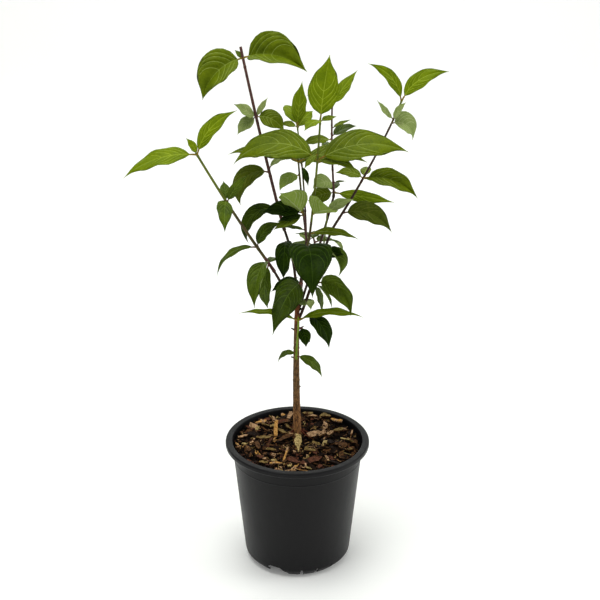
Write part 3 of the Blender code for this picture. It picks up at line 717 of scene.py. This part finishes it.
for name, run in BOUGHS.items():
    path, joined = grown_from(*run)
    limbs[name] = (path, run[5])
    seed = random.uniform(0, 50)
    scars = [run[4] * random.uniform(0.3, 0.4), run[4] * random.uniform(0.65, 0.75)]

    def bough_radius(height, angle):
        share = min(height / run[4], 1)
        collar = 0.5 * math.exp(-height / 3.5) + ring_scars(height, scars, 0.28)
        return run[5][0] + (run[5][1] - run[5][0]) * share + collar

    bark = Joined()
    bark.add(sleeve(joined, 110, 28, bough_radius, seed, 0.13), rings_to_faces(110, 28), 0)
    for height in scars:
        node = along(path, height / run[4])
        turn = random.uniform(0, 360)
        for heading in (turn, turn + 180):
            foot = node + toward(heading, 90) * 1.2 * MM
            bark.add(spike(foot, toward(heading, 35), 2.2, 0.7), rings_to_faces(7, 8), 0)
    bark.piece(name + "_wood", shoot_finishes[:1], "shoot_bark", [name])

# Shoots and leaves
# This year's and last year's growth: round shoots that change from purple-brown to green, with a
# pair of leaves at each node, each pair across the last, and a pointed bud between the last two.
# Leaves are leathery and pointed, with side veins that bow forward, and paler underneath.
# Masses: (shoot, as for the boughs), (shares where it turns purple, olive, green and fresh green),
# (share of the way along the shoot, heading, length, rise at its foot, droop from foot to tip,
# turn about its own length, width as a share of its length, tone, and for some how far each half is
# folded up).
MASSES = {
    "foliage_left": (
        ("bough_left", 1.0, (194, 195), (33, 28), 159, (1.8, 1.3)),
        (0.0, 0.2, 0.61),
        [
            (1.00, 184, 77, 4, 47, 20, 0.40, "young"),
            (1.00, 5, 60, 72, 55, -45, 0.32, "young"),
            (1.00, 165, 19, 70, 30, 30, 0.50, "young"),
            (0.61, 100, 23, 60, 40, 0, 0.50, "mature"),
            (0.61, 269, 47, 16, 98, 20, 0.37, "mature", 10),
            (0.60, 20, 34, 60, 25, -40, 0.35, "mature"),
            (0.20, 188, 56, 6, 90, 10, 0.24, "mature"),
            (0.20, 0, 38, 80, 75, -35, 0.45, "deep"),
            (0.07, 252, 63, 8, 109, -14, 0.37, "mature", 35),
            (0.05, 251, 54, -42, 95, -10, 0.30, "mature", 15),
            (0.05, 70, 26, 12, 50, 0, 0.45, "mature"),
        ],
    ),
    "foliage_upper_left": (
        ("bough_upper_left", 1.0, (160, 161), (15, 12), 203, (1.8, 1.5)),
        (0.12, 2, 2),
        [
            (0.94, 206, 61, -9, 66, 36, 0.71, "fresh", 40),
            (0.94, 331, 75, 21, 53, -44, 0.65, "fresh", 50),
            (0.93, 150, 12, 50, 20, 30, 0.50, "mature"),
            (0.62, 188, 26, 35, 5, 20, 0.90, "over"),
            (0.62, 200, 26, -20, 45, 30, 0.66, "over"),
            (0.62, 20, 22, 60, 10, -20, 0.40, "over"),
            (0.62, 345, 34, 10, 78, -50, 0.60, "fresh"),
            (0.31, 204, 59, 19, 138, 38, 0.38, "dusky", 21),
            (0.33, 20, 34, 50, 70, 50, 0.45, "dusky"),
            (0.10, 192, 61, 13, 135, 30, 0.32, "deep", 22),
        ],
    ),
    "foliage_centre_left": (
        ("bough_centre", 1.0, (188, 150), (7, 5), 91, (1.3, 1.0)),
        (0.0, 0.4, 2),
        [
            (1.00, 174, 72, 28, 52, 15, 0.42, "fresh"),
            (1.00, 355, 70, 25, 55, -18, 0.42, "fresh"),
            (0.83, 205, 29, 14, 99, 8, 0.82, "pale", 10),
            (0.35, 222, 42, 48, 10, -42, 0.86, "fresh", 44),
            (0.36, 175, 42, 12, 30, 34, 0.55, "shade", 34),
            (0.34, 192, 34, -14, 24, 28, 0.45, "fresh"),
            (0.33, 195, 28, 5, 30, 20, 0.42, "shade"),
            (0.14, 178, 28, 20, 30, 10, 0.30, "mature"),
            (0.08, 190, 11, 20, 30, 0, 0.40, "mature"),
        ],
    ),
    "foliage_centre_back": (
        ("bough_centre", 0.97, (95, 130), (12, 12), 128, (1.1, 0.8)),
        (0.0, 0.5, 0.8),
        [
            (1.00, 60, 44, 79, 8, 15, 0.50, "young"),
            (1.00, 110, 40, 45, 60, 0, 0.45, "young"),
            (0.99, 190, 18, 35, 60, 30, 0.50, "fresh"),
            (0.98, 60, 34, 35, 40, -20, 0.45, "young"),
            (0.66, 300, 22, -40, 40, 0, 0.35, "shade"),
            (0.66, 100, 48, 15, 55, 0, 0.45, "mature"),
            (0.30, 120, 44, 15, 60, 0, 0.45, "mature"),
        ],
    ),
    "foliage_centre_front": (
        ("bough_centre", 0.97, (303, 288), (12, 9), 150, (1.4, 1.1)),
        (0.0, 0.05, 0.28),
        [
            (0.69, 173, 95, 38, 95, 25, 0.45, "fresh", 12),
            (0.69, 5, 94, 30, 55, -30, 0.44, "fresh"),
            (1.00, 65, 62, 76, 6, 0, 0.56, "young"),
            (1.00, 238, 30, 12, 40, 0, 0.50, "young"),
            (0.99, 30, 18, 20, 30, -20, 0.50, "young"),
            (0.67, 350, 42, 20, 65, -20, 0.36, "fresh"),
            (0.74, 215, 20, -20, 40, 10, 0.50, "fresh"),
            (0.25, 300, 42, 30, 14, 40, 0.95, "fresh", 40),
            (0.09, 355, 50, 15, 45, -15, 0.32, "fresh"),
            (0.04, 350, 11, 30, 10, 0, 0.30, "mature"),
        ],
    ),
    "foliage_back": (
        ("bough_back", 1.0, (120, 130), (8, -2), 100, (1.3, 1.0)),
        (0.1, 2, 2),
        [
            (1.00, 30, 44, 56, 18, -30, 0.34, "young"),
            (1.00, 195, 30, 45, 40, 35, 0.42, "young"),
            (1.00, 112, 44, 35, 60, 0, 0.45, "fresh"),
            (0.75, 25, 22, 25, 20, -20, 0.30, "fresh"),
            (0.66, 5, 28, 40, 40, 45, 0.85, "over"),
            (0.62, 200, 34, 15, 45, 20, 0.45, "fresh"),
            (0.45, 85, 60, 15, 60, 0, 0.45, "mature"),
            (0.32, 80, 50, 10, 60, 0, 0.45, "mature"),
            (0.13, 215, 27, 25, 60, 30, 0.85, "over", 20),
            (0.13, 350, 12, 20, 20, 40, 0.60, "over"),
            (0.03, 100, 50, 10, 60, 0, 0.45, "mature"),
            (0.02, 353, 62, -5, 2, -40, 0.25, "young", 10),
            (0.02, 190, 28, 0, 30, 38, 0.72, "fresh"),
        ],
    ),
    "foliage_right": (
        ("bough_right", 1.0, (14, 13), (34, 23), 161, (1.5, 1.0)),
        (0.84, 0.84, 0.95),
        [
            (0.99, 180, 54, 78, 64, 50, 0.27, "young"),
            (1.00, 0, 57, 62, 65, -45, 0.34, "young"),
            (0.85, 338, 24, 66, 22, -50, 0.50, "over"),
            (0.86, 188, 26, 45, -10, 30, 0.42, "over"),
            (0.83, 13, 34, 7, 105, -39, 0.88, "over", 29),
            (0.42, 80, 30, 20, 40, 0, 0.40, "fresh"),
            (0.41, 172, 30, 35, 60, 25, 0.50, "fresh"),
            (0.41, 347, 62, 12, 61, -58, 0.40, "fresh", 46),
            (0.41, 335, 22, 0, 20, 0, 0.30, "fresh"),
            (0.13, 349, 58, 16, 75, -41, 0.45, "dusky", 28),
        ],
    ),
    "foliage_inner_right": (
        ("bough_right", 0.55, (320, 320), (12, 5), 68, (1.0, 0.8)),
        (0.0, 0.0, 0.1),
        [
            (1.00, 20, 32, 45, 50, -10, 0.62, "over"),
            (0.28, 330, 25, 25, 40, -35, 0.68, "shade"),
            (0.32, 322, 38, 11, 129, 8, 0.72, "mature", 46),
        ],
    ),
    "foliage_inner_front": (
        ("bough_centre", 0.88, (275, 275), (60, 40), 7, (1.2, 1.1)),
        (0.0, 2, 2),
        [
            (1.00, 276, 87, 27, 103, 1, 0.54, "shade", 23),
        ],
    ),
    "foliage_inner_left": (
        ("bough_upper_left", 0.8, (250, 250), (70, 60), 6, (1.1, 1.0)),
        (0.0, 2, 2),
        [
            (1.00, 267, 55, 17, 148, -15, 0.37, "shade", 25),
        ],
    ),
    "foliage_low_left": (
        ("trunk", 0.985, (285, 285), (45, 10), 36, (1.2, 0.9)),
        (0.0, 2, 2),
        [
            (0.98, 247, 81, 11, 75, 38, 0.37, "deep", 21),
            (1.00, 185, 34, 10, 60, 20, 0.52, "shade"),
            (0.60, 215, 24, -20, 50, 0, 0.50, "shade"),
        ],
    ),
    "foliage_low_right": (
        ("bough_right", 0.36, (300, 330), (60, 50), 8, (1.1, 0.9)),
        (0.0, 2, 2),
        [
            (1.00, 324, 59, 21, 118, -63, 0.43, "mature", 44),
            (0.80, 343, 32, -41, 35, -1, 0.32, "mature", 38),
            (0.50, 336, 31, -62, 26, 0, 0.52, "mature"),
        ],
    ),
    "foliage_inner_back": (
        ("bough_back", 0.5, (110, 100), (60, 40), 14, (1.1, 0.9)),
        (0.0, 2, 2),
        [
            (1.00, 100, 56, 10, 75, 0, 0.45, "mature"),
            (0.80, 45, 52, 5, 70, 0, 0.45, "mature"),
            (0.60, 165, 46, 5, 70, 0, 0.45, "mature"),
        ],
    ),
    "foliage_trunk_back": (
        ("trunk", 0.9, (95, 95), (60, 40), 12, (1.1, 0.9)),
        (0.0, 2, 2),
        [
            (1.00, 65, 48, 0, 70, 0, 0.45, "mature"),
            (0.80, 118, 46, 0, 70, 0, 0.45, "mature"),
        ],
    ),
    "foliage_trunk_right": (
        ("trunk", 0.86, (340, 345), (60, 40), 12, (1.1, 0.9)),
        (0.0, 2, 2),
        [
            (1.00, 314, 46, -4, 84, 0, 0.50, "shade"),
            (0.80, 20, 24, 15, 40, 0, 0.50, "shade"),
        ],
    ),
    "foliage_trunk_low": (
        ("trunk", 0.80, (318, 318), (60, 50), 5, (1.0, 0.8)),
        (0.0, 2, 2),
        [
            (1.00, 287, 23, -20, 70, 0, 0.62, "shade"),
            (0.80, 320, 18, -30, 50, 0, 0.45, "mature"),
            (0.60, 330, 16, -50, 40, 0, 0.30, "dusky"),
            (0.50, 300, 13, -60, 30, 0, 0.50, "mature"),
        ],
    ),
    "foliage_low_shoot": (
        ("trunk", 0.6, (270, 310), (26, -2), 52, (1.3, 1.0)),
        (0.0, 0.0, 0.0, 0.0),
        [
            (0.98, 184, 62, 26, 38, 5, 0.24, "young"),
            (0.99, 356, 68, 26, 48, -5, 0.26, "young"),
            (0.08, 190, 25, 32, 120, 10, 0.44, "mature"),
            (0.02, 345, 37, -5, 74, -20, 0.38, "mature"),
        ],
    ),
}
CUT_SHOOTS = ("foliage_upper_left",)  # cut off above the last pair, so with no bud at the end
LEAF_SHAPE = (0.72, 1.2)  # powers of the distances from foot and tip
TIP_TAPER = (0.42, 0.68, 0.92)  # how much the outline draws in towards the tip, from here to here
LEAF_FOLD = 14  # how far each half is folded up from the flat, unless its row says otherwise
BLADE_THICKNESS = 0.32
STALK_SHARE = 0.1
STALK_LIMITS = (2.5, 8)
STALK_RADII = (1.05, 0.75)
VEINS = ((0.03, 0.54), (0.13, 0.71), (0.25, 0.84), (0.39, 0.94))  # shares at midrib and at margin
VEIN_HALF_WIDTH = 0.3
MIDRIB_HALF_WIDTH = (0.5, 0.12)
CUTS = (7, 4, 4, 4, 9)  # strips of faces between the foot, each side vein and the tip
COLUMNS = 8
QUILTING = 0.013  # how far the blade bulges between its veins, as a share of its length
WAVE = 0.018  # how far its margin waves
# The deep and shade greens of leaves inside and under the crown are partly their own darker green and partly
# painted shade.
LEAF_TONES = ("young", "fresh", "mature", "deep", "shade", "dusky")
TURNED_OVER = {"over": "mature", "pale": "fresh"}  # tones of leaves that show their undersides


def leaf_finish(name, deep, bright, rough, sheen):
    """A leaf's skin: cells in a fine net of veinlets, patches of two greens, and a dull wax."""
    made = Finish(name, bright, rough, Specular_IOR_Level=sheen)
    patches = made.cloud(16 * MM, 3)
    mottle = made.cloud(2.4 * MM, 3)
    net = made.step(made.cells(1.9 * MM, (1, 1, 1), "DISTANCE_TO_EDGE"), 0.0, 0.14)
    share = made.step(0.6 * patches + 0.4 * mottle, 0.32, 0.68)
    made.drive("Base Color", made.tint(0.8 * share + 0.2 * (1 - net), deep, bright))
    made.drive("Roughness", rough + 0.16 * (mottle - 0.5))
    made.relief(0.5 * net + mottle, 0.12 * MM)
    return made


leaf_finishes = [
    leaf_finish("young_upper", seen(86, 108, 0), seen(122, 142, 2), 0.5, 0.08),
    leaf_finish("fresh_upper", seen(70, 88, 0), seen(110, 126, 6), 0.48, 0.09),
    leaf_finish("mature_upper", seen(46, 66, 0), seen(90, 110, 10), 0.46, 0.12),
    leaf_finish("deep_upper", seen(26, 42, 0), seen(62, 80, 6), 0.46, 0.06),
    leaf_finish("shade_upper", seen(8, 26, 0), seen(40, 60, 2), 0.46, 0.04),
    leaf_finish("dusky_upper", seen(60, 74, 8), seen(96, 108, 26), 0.5, 0.06),
    leaf_finish("young_veins", seen(136, 156, 26), seen(160, 176, 54), 0.5, 0.08),
    leaf_finish("fresh_veins", seen(122, 140, 46), seen(150, 166, 76), 0.5, 0.12),
    leaf_finish("mature_veins", seen(84, 108, 28), seen(112, 134, 52), 0.5, 0.12),
    leaf_finish("deep_veins", seen(62, 84, 20), seen(90, 112, 36), 0.5, 0.08),
    leaf_finish("shade_veins", seen(46, 70, 12), seen(68, 92, 26), 0.5, 0.04),
    leaf_finish("dusky_veins", seen(88, 98, 32), seen(114, 122, 52), 0.5, 0.06),
    leaf_finish("young_under", seen(118, 142, 52), seen(152, 172, 84), 0.65, 0.04),
    leaf_finish("grey_under", seen(118, 138, 70), seen(156, 170, 104), 0.7, 0.04),
    leaf_finish("under_veins", seen(150, 166, 100), seen(182, 192, 136), 0.65, 0.04),
    leaf_finish("green_stalk", seen(118, 120, 34), seen(152, 108, 48), 0.55, 0.1),
    leaf_finish("red_stalk", seen(78, 50, 32), seen(120, 62, 46), 0.55, 0.1),
]
YOUNG_UNDER, GREY_UNDER, UNDER_VEINS, GREEN_STALK, RED_STALK = range(2 * len(LEAF_TONES), len(leaf_finishes))


def blade_rows(across, vein_share):
    """Rows of the blade's grid as shares of its length, with a narrow pair for each side vein.

    A row leaves the midrib at a slant and bows forward. Also gives the bulge of each row, and
    which strips between rows are veins.
    """
    bow = 0.45 * across + 0.55 * across**2.2
    stops = [0 * across]
    for low, high in VEINS:
        centre = low + (high - low) * bow
        half = vein_share * (1 + 1.4 * across)
        stops += [centre - half, centre + half]
    stops.append(0 * across + 1)
    rows, bulges, veined = [stops[0]], [0], []
    for gap, (low, high) in enumerate(zip(stops, stops[1:])):
        cuts = 1 if gap % 2 else CUTS[gap // 2]
        for cut_number in range(1, cuts + 1):
            rows.append(low + (high - low) * cut_number / cuts)
            bulges.append(math.sin(math.pi * cut_number / cuts) ** 2)
            veined.append(gap % 2 == 1)
    return np.array(rows), np.array(bulges), veined


def outline(share, width, length):
    """Half width of a blade, broadest below its middle and drawn out to a fine tip."""
    rise, fall = LEAF_SHAPE
    widest = rise / (rise + fall)
    peak = widest**rise * (1 - widest) ** fall
    taper = np.clip((share - TIP_TAPER[1]) / (TIP_TAPER[2] - TIP_TAPER[1]), 0, 1)
    drawn_in = 1 - TIP_TAPER[0] * taper * taper * (3 - 2 * taper)
    half = 0.5 * width * length * share**rise * (1 - share) ** fall / peak
    return half * drawn_in


def leaf_frame(heading, slope, turn):
    """Directions ahead, to the side and out of the upper face, for arrays of slopes and turns."""
    out = np.array((math.cos(heading), math.sin(heading), 0))
    level = np.array((math.sin(heading), -math.cos(heading), 0))
    up = np.array((0, 0, 1))
    slope, turn = slope[..., None], turn[..., None]
    ahead = out * np.cos(slope) + up * np.sin(slope)
    above = up * np.cos(slope) - out * np.sin(slope)
    side = level * np.cos(turn) + above * np.sin(turn)
    return ahead, side, above * np.cos(turn) - level * np.sin(turn)


def add_leaf(leaves, foot, row):
    """A blade, closed all round and thin as paper, and the stalk that holds it to the shoot."""
    _, heading, length, rise, droop, turn, width, tone, *folded = row
    fold = math.radians(folded[0] if folded else LEAF_FOLD)
    heading, rise, droop, turn = (math.radians(angle) for angle in (heading, rise, droop, turn))
    stalk = min(max(STALK_SHARE * length, STALK_LIMITS[0]), STALK_LIMITS[1])
    small = min(1.0, 0.45 + length / 110)
    vein_share = VEIN_HALF_WIDTH * small / length
    columns = np.linspace(0, 1, COLUMNS + 1)
    share, bulges, veined = blade_rows(columns, vein_share)
    rib = small * (MIDRIB_HALF_WIDTH[0] + (MIDRIB_HALF_WIDTH[1] - MIDRIB_HALF_WIDTH[0]) * share)
    half = np.maximum(outline(share, width, length), rib + 0.04)
    reach = rib + (half - rib) * (1 - (1 - columns) ** 1.6)
    droop = droop or 1e-4
    slope = rise - droop * share
    along_out = length * (math.sin(rise) - np.sin(slope)) / droop
    along_up = length * (np.cos(slope) - math.cos(rise)) / droop
    twist = random.uniform(-0.14, 0.14)
    sickle = random.uniform(-0.03, 0.03) * length
    ahead, side, above = leaf_frame(heading, slope, turn + twist * share)
    start_ahead = leaf_frame(heading, np.array(rise), np.array(turn))[0]
    spine = start_ahead * stalk + np.stack(
        (along_out * math.cos(heading), along_out * math.sin(heading), along_up), axis=-1
    )
    spine += side * (sickle * share**2)[..., None]
    thick = BLADE_THICKNESS / 2 * (1 - columns**4)
    halves = []
    for hand in (-1, 1):
        waves, phase = random.uniform(2.0, 3.4), random.uniform(0, 2 * math.pi)
        tau = reach / np.maximum(half, 0.01)
        lift = -0.2 * half * tau * tau
        lift += QUILTING * length * bulges[:, None] * np.sin(math.pi * columns**0.7)
        lift += WAVE * length * tau**2 * np.sin(waves * 2 * math.pi * share + phase) * np.sin(math.pi * share)
        out = side * (hand * math.cos(fold)) + above * math.sin(fold)
        up = above * math.cos(fold) - side * (hand * math.sin(fold))
        edge = spine + out * reach[..., None]
        keel = 0.4 * small * (1 - share) * np.exp(-columns / 0.08)
        halves.append((edge + up * (lift + thick)[..., None], edge + up * (lift - thick - keel)[..., None]))
    (left_top, left_low), (right_top, right_low) = halves
    top = np.concatenate((left_top[:, ::-1], right_top), axis=1)
    low = np.concatenate((left_low[:, ::-1], right_low), axis=1)
    count, wide = top.shape[:2]
    foot = np.array(foot)
    vertices = foot + np.concatenate((top.reshape(-1, 3), low[:, 1:-1].reshape(-1, 3))) * MM

    def upper(r, c):
        return r * wide + c

    def under(r, c):
        return upper(r, c) if c in (0, wide - 1) else count * wide + r * (wide - 2) + c - 1

    flipped = tone in TURNED_OVER
    skin = LEAF_TONES.index(TURNED_OVER.get(tone, tone))
    pale = YOUNG_UNDER if LEAF_TONES[skin] in ("young", "fresh") else GREY_UNDER
    faces, tones = [], []
    for r in range(count - 1):
        for c in range(wide - 1):
            ribbed = c == COLUMNS or (veined[r] and 1 <= c < wide - 2)
            face_up = (upper(r, c), upper(r, c + 1), upper(r + 1, c + 1), upper(r + 1, c))
            face_down = (under(r, c), under(r + 1, c), under(r + 1, c + 1), under(r, c + 1))
            green = skin + len(LEAF_TONES) if ribbed else skin
            grey = UNDER_VEINS if ribbed else pale
            faces += [face_up, face_down]
            tones += [grey, green] if flipped else [green, grey]
    for r in (0, count - 1):
        cap = [upper(r, c) for c in range(wide)] + [under(r, c) for c in range(wide - 2, 0, -1)]
        faces.append(tuple(cap) if r else tuple(reversed(cap)))
        tones.append(pale)
    leaves.add([tuple(vertex) for vertex in vertices], faces, tones)
    start = Vector(foot)
    end = start + Vector(start_ahead) * (stalk + 0.03 * length) * MM
    sag = Vector(above[0, 0]) * (0.3 + 0.2 * small) * MM
    arch = (start + end) / 2 + Vector((0, 0, 0.06 * stalk * MM))
    bend = [start.lerp(arch, t).lerp(arch.lerp(end - sag, t), t) for t in np.linspace(0, 1, 9)]

    def stalk_radius(height, angle):
        run = height / (stalk + 0.03 * length)
        return small * (STALK_RADII[0] + (STALK_RADII[1] - STALK_RADII[0]) * run + 0.25 * math.exp(-5 * run))

    red = RED_STALK if pale == GREY_UNDER else GREEN_STALK
    leaves.add(sleeve(bend, 12, 10, stalk_radius), rings_to_faces(12, 10), red)


for name, (run, turns, rows) in MASSES.items():
    path, joined = grown_from(*run)
    limbs[name] = (path, run[5])
    nodes = sorted({round(row[0], 1) for row in rows})
    swellings = [node * run[4] for node in nodes]

    def shoot_radius(height, angle):
        share = min(height / run[4], 1)
        collar = 0.45 * math.exp(-height / 3)
        swell = ring_scars(height - 2, swellings, 0.3)
        return run[5][0] + (run[5][1] - run[5][0]) * share + collar + swell

    rings, sides = max(12, int(run[4] / 1.6)), 18
    bark = Joined()
    tones = []
    for ring in range(rings - 1):
        tones += [sum(ring / (rings - 1) >= turn for turn in turns)] * sides
    tones += [tones[0], tones[-1]]
    bark.add(sleeve(joined, rings, sides, shoot_radius, 0, 0.0), rings_to_faces(rings, sides), tones)
    tip = limbs[name][0][-1]
    if name not in CUT_SHOOTS:
        bark.add(spike(tip, ahead_at(path, 1), 4.2, 0.95 * run[5][1]), rings_to_faces(7, 8), tones[-1])
    for node in nodes:
        for row in rows:
            if abs(row[0] - node) < 0.05 and row[0] < 0.97:
                foot = along(path, row[0]) + toward(row[1], 90) * 0.8 * run[5][1] * MM
                bud = spike(foot, toward(row[1], 24), 2.4, 0.6)
                bark.add(bud, rings_to_faces(7, 8), tones[min(int(row[0] * (rings - 1)), rings - 2) * sides])
    bark.piece(name + "_shoot", shoot_finishes, "shoot_bark", [name])
    leaves = Joined()
    for row in rows:
        add_leaf(leaves, along(path, row[0]), row)
    leaves.piece(name + "_leaves", leaf_finishes, "leaf_green", [name])

# Studio
# A seamless pale sweep, a large soft light overhead, one at each side, and an even sky.
SWEEP_RADIUS = 0.9
SWEEP_BACK = 2.2


def white_finish():
    made = Finish("sweep_white", seen(247, 249, 245), 0.9, Emission_Strength=0.1)
    made.shader.inputs["Emission Color"].default_value = (1, 1, 1, 1)
    made.relief(made.cloud(0.6 * MM, 2), 0.02 * MM)
    return made


sweep = Joined()
profile = [(-3.5, 0)]
profile += [
    (SWEEP_BACK + SWEEP_RADIUS * math.sin(turn), SWEEP_RADIUS * (1 - math.cos(turn)))
    for turn in np.linspace(0, math.pi / 2, 24)
]
profile += [(SWEEP_BACK + SWEEP_RADIUS, 5.0)]
for x in (-5, 5):
    sweep.vertices += [(x, y, z) for y, z in profile]
across = len(profile)
sweep.faces = [(k, across + k, across + k + 1, k + 1) for k in range(across - 1)]
sweep.tones = [0] * len(sweep.faces)
mesh = bpy.data.meshes.new("sweep")
mesh.from_pydata(sweep.vertices, [], sweep.faces)
mesh.materials.append(white_finish().material)
mesh.shade_smooth()
floor = bpy.data.objects.new("sweep", mesh)
bpy.context.scene.collection.objects.link(floor)


def soft_light(name, place, aim, size, power):
    light = bpy.data.lights.new(name, "AREA")
    light.shape, light.size, light.energy = "DISK", size, power
    lamp = bpy.data.objects.new(name, light)
    lamp.location = place
    lamp.rotation_euler = (Vector(aim) - Vector(place)).to_track_quat("-Z", "Y").to_euler()
    bpy.context.scene.collection.objects.link(lamp)


soft_light("overhead", (-0.3, -0.2, 2.4), (0, 0, 0.3), 1.5, 31)
soft_light("left_front", (-1.5, -1.9, 1.6), (0, 0, 0.35), 1.6, 6)
soft_light("right_side", (2.0, 0.0, 1.0), (0, 0, 0.3), 1.4, 15)
soft_light("backdrop", (0, 1.0, 2.4), (0, 3.0, 0.6), 1.6, 24)
world = bpy.data.worlds.new("sky")
world.use_nodes = True
world.node_tree.nodes["Background"].inputs["Color"].default_value = (1, 1, 1, 1)
world.node_tree.nodes["Background"].inputs["Strength"].default_value = 0.38
bpy.context.scene.world = world
bpy.context.scene.view_settings.view_transform = "Standard"

lens = bpy.data.cameras.new("camera")
lens.lens, lens.sensor_width = 88.61, 36
camera = bpy.data.objects.new("camera", lens)
camera.location = (0.003, -1.5, 0.960)
camera.rotation_euler = (math.radians(66.96), 0, 0)
bpy.context.scene.collection.objects.link(camera)
bpy.context.scene.camera = camera
